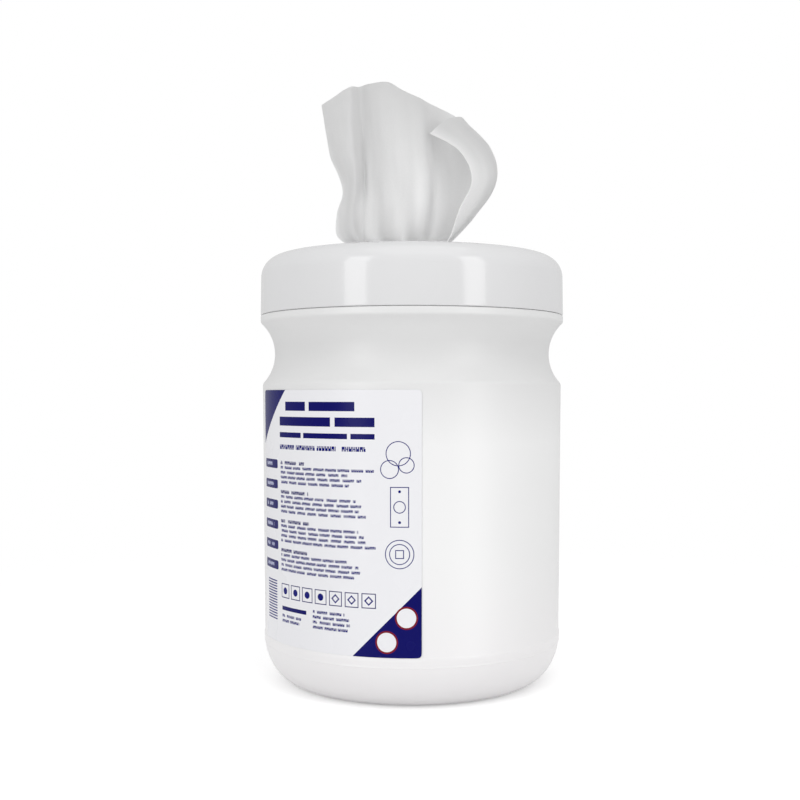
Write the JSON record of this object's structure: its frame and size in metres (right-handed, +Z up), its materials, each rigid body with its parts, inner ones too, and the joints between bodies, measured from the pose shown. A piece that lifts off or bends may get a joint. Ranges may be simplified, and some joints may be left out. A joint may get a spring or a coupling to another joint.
{
  "type": "wipes dispenser tub",
  "caption": "Round white tub with a grip waist, a screw lid with a hinged flip cap over a star orifice, and one wipe drawn up from the centre-pull roll inside.",
  "frame": {"origin": "middle of the base, on the table that the tub stands on", "axes": "+Z up along the tub's axis, -Y to the front, +X to the right seen from the front"},
  "size_m": [0.13, 0.13, 0.2582],
  "materials": {
    "tub_plastic": "satin blow-moulded white",
    "lid_plastic": "glossy moulded white",
    "wipe_cloth": "soft nonwoven white",
    "label_film": "glossy film with navy corners and grey print"
  },
  "bodies": {
    "tub": {"tub": "tub_plastic", "label": "label_film", "wipes_roll": "wipe_cloth"},
    "wipe": {"wipe": "wipe_cloth"},
    "lid": {"lid": "lid_plastic"},
    "flip_cap": {"flip_cap": "lid_plastic"}
  },
  "joints": [
    {"name": "lid_rise", "type": "slide", "parent": "tub", "child": "wipe", "axis": [0, 0, 1], "range_m": [0, 0.0076]},
    {"name": "lid_turn", "type": "hinge", "parent": "wipe", "child": "lid", "pos_m": [0, 0, 0.17], "axis": [0, 0, 1], "range_deg": [0, 450]},
    {"name": "cap_hinge", "type": "hinge", "parent": "lid", "child": "flip_cap", "pos_m": [0, 0.0218, 0.1824], "axis": [1, 0, 0], "range_deg": [0, 170], "deforming": ["wipe"]}
  ],
  "couplings": [
    {"joint": "lid_rise", "follows": "lid_turn", "m_per_rad": 0.00095493}
  ]
}
